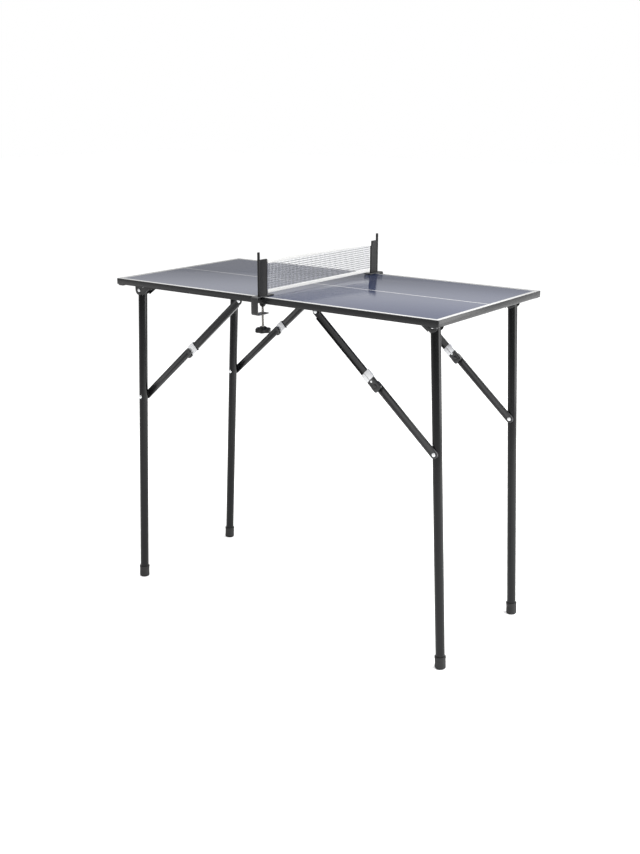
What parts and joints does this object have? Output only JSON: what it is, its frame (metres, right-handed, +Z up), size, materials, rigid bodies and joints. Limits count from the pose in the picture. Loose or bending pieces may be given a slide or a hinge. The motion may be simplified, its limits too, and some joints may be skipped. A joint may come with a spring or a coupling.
{
  "type": "ping pong table",
  "caption": "Small folding table tennis table: framed blue board, splayed tube legs that fold inward on jointed locking braces, clamp-on net.",
  "frame": {"origin": "on the floor, under the middle of the board", "axes": "+X along the board's length, +Y across it along the net, +Z up out of the playing surface"},
  "size_m": [0.9048, 0.494, 0.888],
  "materials": {
    "board": "gloss blue lacquer with white lines",
    "frame_paint": "gloss black powder coat",
    "tube_paint": "gloss black paint",
    "bright_steel": "bright zinc plate",
    "ring_plastic": "light silver grey",
    "black_plastic": "satin moulded",
    "black_rubber": "matt",
    "net_fabric": "woven mesh with white tapes"
  },
  "bodies": {
    "table": {"tabletop_panel": "board", "edge_rail_front": "frame_paint", "edge_rail_back": "frame_paint", "edge_rail_right": "frame_paint", "edge_rail_left": "frame_paint", "leg_hinge_bracket_front_right": "frame_paint", "leg_hinge_pin_front_right": "bright_steel", "brace_bracket_front_right": "frame_paint", "brace_pin_front_right": "bright_steel", "leg_hinge_bracket_back_right": "frame_paint", "leg_hinge_pin_back_right": "bright_steel", "brace_bracket_back_right": "frame_paint", "brace_pin_back_right": "bright_steel", "leg_hinge_bracket_front_left": "frame_paint", "leg_hinge_pin_front_left": "bright_steel", "brace_bracket_front_left": "frame_paint", "brace_pin_front_left": "bright_steel", "leg_hinge_bracket_back_left": "frame_paint", "leg_hinge_pin_back_left": "bright_steel", "brace_bracket_back_left": "frame_paint", "brace_pin_back_left": "bright_steel", "net_post_front": "black_plastic", "net_clamp_front": "frame_paint", "net_post_back": "black_plastic", "net_clamp_back": "frame_paint", "net": "net_fabric"},
    "leg_front_right": {"leg_tube_front_right": "tube_paint", "foot_cap_front_right": "black_rubber", "leg_rivet_front_right": "bright_steel"},
    "upper_front_right": {"upper_brace_front_right": "tube_paint", "knee_rivet_front_right": "bright_steel"},
    "lower_front_right": {"lower_brace_front_right": "tube_paint"},
    "ring_front_right": {"lock_ring_front_right": "ring_plastic"},
    "leg_back_right": {"leg_tube_back_right": "tube_paint", "foot_cap_back_right": "black_rubber", "leg_rivet_back_right": "bright_steel"},
    "upper_back_right": {"upper_brace_back_right": "tube_paint", "knee_rivet_back_right": "bright_steel"},
    "lower_back_right": {"lower_brace_back_right": "tube_paint"},
    "ring_back_right": {"lock_ring_back_right": "ring_plastic"},
    "leg_front_left": {"leg_tube_front_left": "tube_paint", "foot_cap_front_left": "black_rubber", "leg_rivet_front_left": "bright_steel"},
    "upper_front_left": {"upper_brace_front_left": "tube_paint", "knee_rivet_front_left": "bright_steel"},
    "lower_front_left": {"lower_brace_front_left": "tube_paint"},
    "ring_front_left": {"lock_ring_front_left": "ring_plastic"},
    "leg_back_left": {"leg_tube_back_left": "tube_paint", "foot_cap_back_left": "black_rubber", "leg_rivet_back_left": "bright_steel"},
    "upper_back_left": {"upper_brace_back_left": "tube_paint", "knee_rivet_back_left": "bright_steel"},
    "lower_back_left": {"lower_brace_back_left": "tube_paint"},
    "ring_back_left": {"lock_ring_back_left": "ring_plastic"},
    "pad_front": {"clamp_pad_front": "black_plastic"},
    "screw_front": {"clamp_screw_front": "bright_steel", "clamp_knob_front": "black_plastic"},
    "pad_back": {"clamp_pad_back": "black_plastic"},
    "screw_back": {"clamp_screw_back": "bright_steel", "clamp_knob_back": "black_plastic"}
  },
  "joints": [
    {"name": "leg_fold_front_right", "type": "hinge", "parent": "table", "child": "leg_front_right", "pos_m": [0.4, -0.1511, 0.76275], "axis": [0, 1, 0], "range_deg": [0, 93]},
    {"name": "brace_fold_front_right", "type": "hinge", "parent": "table", "child": "upper_front_right", "pos_m": [0.11, -0.1511, 0.76275], "axis": [0, 1, 0], "range_deg": [-41.58, 0.02]},
    {"name": "knee_fold_front_right", "type": "hinge", "parent": "upper_front_right", "child": "lower_front_right", "pos_m": [0.26955, -0.1511, 0.6213], "axis": [0, 1, 0], "range_deg": [-0.02, 180.02]},
    {"name": "ring_slide_front_right", "type": "slide", "parent": "upper_front_right", "child": "ring_front_right", "axis": [-0.7483, 0, 0.6634], "range_m": [-0.0105, 0.0495]},
    {"name": "leg_fold_back_right", "type": "hinge", "parent": "table", "child": "leg_back_right", "pos_m": [0.4, 0.189, 0.76275], "axis": [0, 1, 0], "range_deg": [0, 93]},
    {"name": "brace_fold_back_right", "type": "hinge", "parent": "table", "child": "upper_back_right", "pos_m": [0.11, 0.189, 0.76275], "axis": [0, 1, 0], "range_deg": [-41.58, 0.02]},
    {"name": "knee_fold_back_right", "type": "hinge", "parent": "upper_back_right", "child": "lower_back_right", "pos_m": [0.26955, 0.189, 0.6213], "axis": [0, 1, 0], "range_deg": [-0.02, 180.02]},
    {"name": "ring_slide_back_right", "type": "slide", "parent": "upper_back_right", "child": "ring_back_right", "axis": [-0.7483, 0, 0.6634], "range_m": [-0.0075, 0.0525]},
    {"name": "leg_fold_front_left", "type": "hinge", "parent": "table", "child": "leg_front_left", "pos_m": [-0.4, -0.189, 0.76275], "axis": [0, -1, 0], "range_deg": [0, 93]},
    {"name": "brace_fold_front_left", "type": "hinge", "parent": "table", "child": "upper_front_left", "pos_m": [-0.11, -0.189, 0.76275], "axis": [0, -1, 0], "range_deg": [-41.58, 0.02]},
    {"name": "knee_fold_front_left", "type": "hinge", "parent": "upper_front_left", "child": "lower_front_left", "pos_m": [-0.26955, -0.189, 0.6213], "axis": [0, -1, 0], "range_deg": [-0.02, 180.02]},
    {"name": "ring_slide_front_left", "type": "slide", "parent": "upper_front_left", "child": "ring_front_left", "axis": [0.7483, 0, 0.6634], "range_m": [0, 0.06]},
    {"name": "leg_fold_back_left", "type": "hinge", "parent": "table", "child": "leg_back_left", "pos_m": [-0.4, 0.1511, 0.76275], "axis": [0, -1, 0], "range_deg": [0, 93]},
    {"name": "brace_fold_back_left", "type": "hinge", "parent": "table", "child": "upper_back_left", "pos_m": [-0.11, 0.1511, 0.76275], "axis": [0, -1, 0], "range_deg": [-41.58, 0.02]},
    {"name": "knee_fold_back_left", "type": "hinge", "parent": "upper_back_left", "child": "lower_back_left", "pos_m": [-0.26955, 0.1511, 0.6213], "axis": [0, -1, 0], "range_deg": [-0.02, 180.02]},
    {"name": "ring_slide_back_left", "type": "slide", "parent": "upper_back_left", "child": "ring_back_left", "axis": [0.7483, 0, 0.6634], "range_m": [0, 0.06]},
    {"name": "clamp_travel_front", "type": "slide", "parent": "table", "child": "pad_front", "axis": [0, 0, 1], "range_m": [-0.006, 0]},
    {"name": "clamp_turn_front", "type": "hinge", "parent": "pad_front", "child": "screw_front", "pos_m": [0, -0.218, 0.72], "axis": [0, 0, 1], "range_deg": [0, 1080]},
    {"name": "clamp_travel_back", "type": "slide", "parent": "table", "child": "pad_back", "axis": [0, 0, 1], "range_m": [-0.006, 0]},
    {"name": "clamp_turn_back", "type": "hinge", "parent": "pad_back", "child": "screw_back", "pos_m": [0, 0.218, 0.72], "axis": [0, 0, 1], "range_deg": [0, 1080]}
  ],
  "couplings": [
    {"joint": "brace_fold_front_right", "follows": "leg_fold_front_right", "ratio": -0.44685},
    {"joint": "knee_fold_front_right", "follows": "leg_fold_front_right", "ratio": 1.9354},
    {"joint": "brace_fold_back_right", "follows": "leg_fold_back_right", "ratio": -0.44685},
    {"joint": "knee_fold_back_right", "follows": "leg_fold_back_right", "ratio": 1.9354},
    {"joint": "brace_fold_front_left", "follows": "leg_fold_front_left", "ratio": -0.44685},
    {"joint": "knee_fold_front_left", "follows": "leg_fold_front_left", "ratio": 1.9354},
    {"joint": "brace_fold_back_left", "follows": "leg_fold_back_left", "ratio": -0.44685},
    {"joint": "knee_fold_back_left", "follows": "leg_fold_back_left", "ratio": 1.9354},
    {"joint": "clamp_travel_front", "follows": "clamp_turn_front", "m_per_rad": -0.00031831},
    {"joint": "clamp_travel_back", "follows": "clamp_turn_back", "m_per_rad": -0.00031831}
  ]
}
